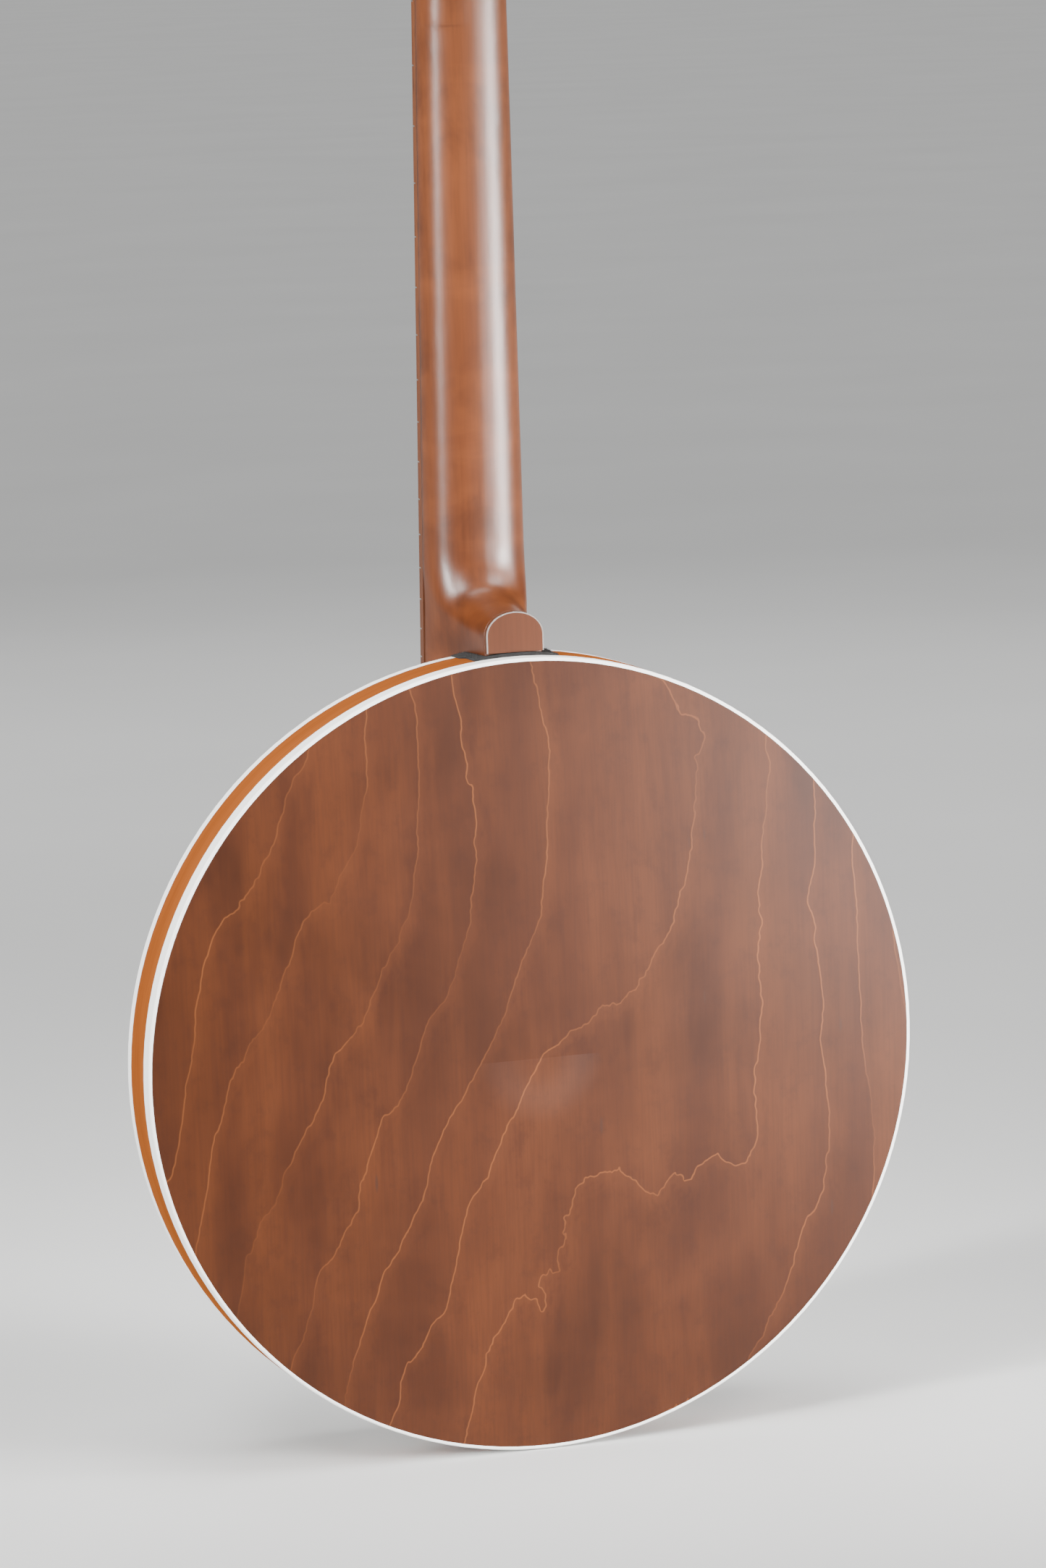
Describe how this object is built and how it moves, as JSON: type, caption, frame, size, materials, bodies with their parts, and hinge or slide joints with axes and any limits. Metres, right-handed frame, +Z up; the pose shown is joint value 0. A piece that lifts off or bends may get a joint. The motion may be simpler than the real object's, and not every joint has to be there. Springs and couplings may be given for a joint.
{
  "type": "banjo",
  "caption": "Resonator banjo with a bracket-tensioned head, geared tuners, a hinged-cover tailpiece and an arched resonator that draws off the back.",
  "frame": {"origin": "centre of the neck just below the peghead, where a wall hanger's yoke carries it", "axes": "+Z up the neck from the pot to the peghead, -Y out of the resonator's back, +Y out of the head and strings, +X towards the short fifth string's peg"},
  "size_m": [0.352, 0.0936, 0.9548],
  "materials": {
    "stained_maple": "satin",
    "cap_maple": "satin",
    "rosewood": "satin",
    "ebony": "satin",
    "nickel_silver": "polished",
    "pearl": "gloss",
    "bone": "satin",
    "black_veneer": "gloss",
    "steel": "plain",
    "brass": "plain",
    "black_plastic": "gloss",
    "white_binding": "satin",
    "rim_maple": "satin",
    "frosted_film": "coated, matte",
    "nickel_plate": "polished",
    "plain_maple": "oiled",
    "resonator_veneer": "satin",
    "wall_veneer": "satin",
    "lining_wood": "raw",
    "dark_felt": "fuzzy",
    "string_steel": "plain",
    "pearl_button": "gloss"
  },
  "bodies": {
    "instrument": {"neck": "stained_maple", "fingerboard": "rosewood", "frets": "nickel_silver", "position_markers": "pearl", "nut": "bone", "fifth_string_nut": "bone", "peghead_veneer": "black_veneer", "truss_rod": "steel", "truss_rod_cover": "black_plastic", "cover_screws": "nickel_plate", "heel_cap": "cap_maple", "heel_cap_line": "white_binding", "neck_bolts": "steel", "rim": "rim_maple", "tone_ring": "brass", "head": "frosted_film", "head_hoop": "steel", "tension_hoop": "nickel_plate", "bracket_hooks": "nickel_plate", "hook_nuts": "nickel_plate", "flange": "nickel_plate", "coordinator_rods": "steel", "tailpiece_base": "nickel_plate", "tailpiece_fixings": "nickel_plate", "bridge": "plain_maple", "bridge_saddle": "ebony", "armrest": "nickel_plate", "armrest_clamps": "nickel_plate", "strings": "string_steel", "tuner_housings": "nickel_plate", "tuner_bushings": "nickel_plate", "fifth_tuner_body": "nickel_plate"},
    "resonator": {"resonator_back": "resonator_veneer", "resonator_wall": "wall_veneer", "back_binding": "white_binding", "front_binding": "white_binding", "resonator_lining": "lining_wood", "wall_lugs": "lining_wood", "heel_felt": "dark_felt"},
    "tailpiece_cover": {"tailpiece_cover": "nickel_plate"},
    "tailpiece_screw": {"tailpiece_screw": "nickel_plate"},
    "truss_rod_nut": {"truss_rod_nut": "brass"},
    "fifth_tuner_key": {"fifth_tuner_button": "pearl_button"},
    "fifth_tuner_roller": {"fifth_tuner_post": "nickel_plate"},
    "thumb_screw_1": {"thumb_screw_1": "nickel_plate"},
    "thumb_screw_2": {"thumb_screw_2": "nickel_plate"},
    "thumb_screw_3": {"thumb_screw_3": "nickel_plate"},
    "thumb_screw_4": {"thumb_screw_4": "nickel_plate"},
    "tuner_key_1": {"tuner_button_1": "pearl_button", "tuner_worm_1": "steel"},
    "tuner_roller_1": {"tuner_post_1": "nickel_plate"},
    "tuner_key_2": {"tuner_button_2": "pearl_button", "tuner_worm_2": "steel"},
    "tuner_roller_2": {"tuner_post_2": "nickel_plate"},
    "tuner_key_3": {"tuner_button_3": "pearl_button", "tuner_worm_3": "steel"},
    "tuner_roller_3": {"tuner_post_3": "nickel_plate"},
    "tuner_key_4": {"tuner_button_4": "pearl_button", "tuner_worm_4": "steel"},
    "tuner_roller_4": {"tuner_post_4": "nickel_plate"}
  },
  "joints": [
    {"name": "resonator_slide", "type": "slide", "parent": "instrument", "child": "resonator", "axis": [0, -1, 0], "range_m": [0, 0.09]},
    {"name": "tailpiece_cover_hinge", "type": "hinge", "parent": "instrument", "child": "tailpiece_cover", "pos_m": [0.00283, 0.03939, -0.78079], "axis": [-1, 0, 0], "range_deg": [0, 100]},
    {"name": "tailpiece_screw_turn", "type": "hinge", "parent": "instrument", "child": "tailpiece_screw", "pos_m": [0.00283, 0.0232, -0.78299], "axis": [0, 0, 1], "continuous": true},
    {"name": "truss_rod_nut_turn", "type": "hinge", "parent": "instrument", "child": "truss_rod_nut", "pos_m": [0.00142, 0.00028, 0.00301], "axis": [0, -0.0384, 0.9993], "range_deg": [-180, 180]},
    {"name": "fifth_tuner_key_turn", "type": "hinge", "parent": "instrument", "child": "fifth_tuner_key", "pos_m": [0.04333, 0.01534, -0.15177], "axis": [1, 0, 0], "continuous": true},
    {"name": "fifth_tuner_roller_turn", "type": "hinge", "parent": "instrument", "child": "fifth_tuner_roller", "pos_m": [0.02833, 0.01534, -0.15177], "axis": [1, 0, 0], "continuous": true},
    {"name": "thumb_screw_1_turn", "type": "hinge", "parent": "instrument", "child": "thumb_screw_1", "pos_m": [0.12346, -0.0092, -0.52486], "axis": [0, 1, 0], "continuous": true},
    {"name": "thumb_screw_2_turn", "type": "hinge", "parent": "instrument", "child": "thumb_screw_2", "pos_m": [0.11432, -0.0092, -0.74765], "axis": [0, 1, 0], "continuous": true},
    {"name": "thumb_screw_3_turn", "type": "hinge", "parent": "instrument", "child": "thumb_screw_3", "pos_m": [-0.10865, -0.0092, -0.74765], "axis": [0, 1, 0], "continuous": true},
    {"name": "thumb_screw_4_turn", "type": "hinge", "parent": "instrument", "child": "thumb_screw_4", "pos_m": [-0.11779, -0.0092, -0.52486], "axis": [0, 1, 0], "continuous": true},
    {"name": "tuner_key_1_turn", "type": "hinge", "parent": "instrument", "child": "tuner_key_1", "pos_m": [0.0185, -0.02703, 0.05227], "axis": [1, 0, 0], "continuous": true},
    {"name": "tuner_roller_1_turn", "type": "hinge", "parent": "instrument", "child": "tuner_roller_1", "pos_m": [0.0185, -0.02063, 0.04665], "axis": [0, 0.965, 0.2622], "continuous": true},
    {"name": "tuner_key_2_turn", "type": "hinge", "parent": "instrument", "child": "tuner_key_2", "pos_m": [0.0185, -0.04066, 0.10245], "axis": [1, 0, 0], "continuous": true},
    {"name": "tuner_roller_2_turn", "type": "hinge", "parent": "instrument", "child": "tuner_roller_2", "pos_m": [0.0185, -0.03427, 0.09683], "axis": [0, 0.965, 0.2622], "continuous": true},
    {"name": "tuner_key_3_turn", "type": "hinge", "parent": "instrument", "child": "tuner_key_3", "pos_m": [-0.0185, -0.02703, 0.05227], "axis": [1, 0, 0], "continuous": true},
    {"name": "tuner_roller_3_turn", "type": "hinge", "parent": "instrument", "child": "tuner_roller_3", "pos_m": [-0.0185, -0.02063, 0.04665], "axis": [0, 0.965, 0.2622], "continuous": true},
    {"name": "tuner_key_4_turn", "type": "hinge", "parent": "instrument", "child": "tuner_key_4", "pos_m": [-0.0185, -0.04066, 0.10245], "axis": [1, 0, 0], "continuous": true},
    {"name": "tuner_roller_4_turn", "type": "hinge", "parent": "instrument", "child": "tuner_roller_4", "pos_m": [-0.0185, -0.03427, 0.09683], "axis": [0, 0.965, 0.2622], "continuous": true}
  ],
  "couplings": [
    {"joint": "fifth_tuner_roller_turn", "follows": "fifth_tuner_key_turn", "ratio": 0.25},
    {"joint": "tuner_roller_1_turn", "follows": "tuner_key_1_turn", "ratio": -0.071429},
    {"joint": "tuner_roller_2_turn", "follows": "tuner_key_2_turn", "ratio": -0.071429},
    {"joint": "tuner_roller_3_turn", "follows": "tuner_key_3_turn", "ratio": -0.071429},
    {"joint": "tuner_roller_4_turn", "follows": "tuner_key_4_turn", "ratio": -0.071429}
  ]
}
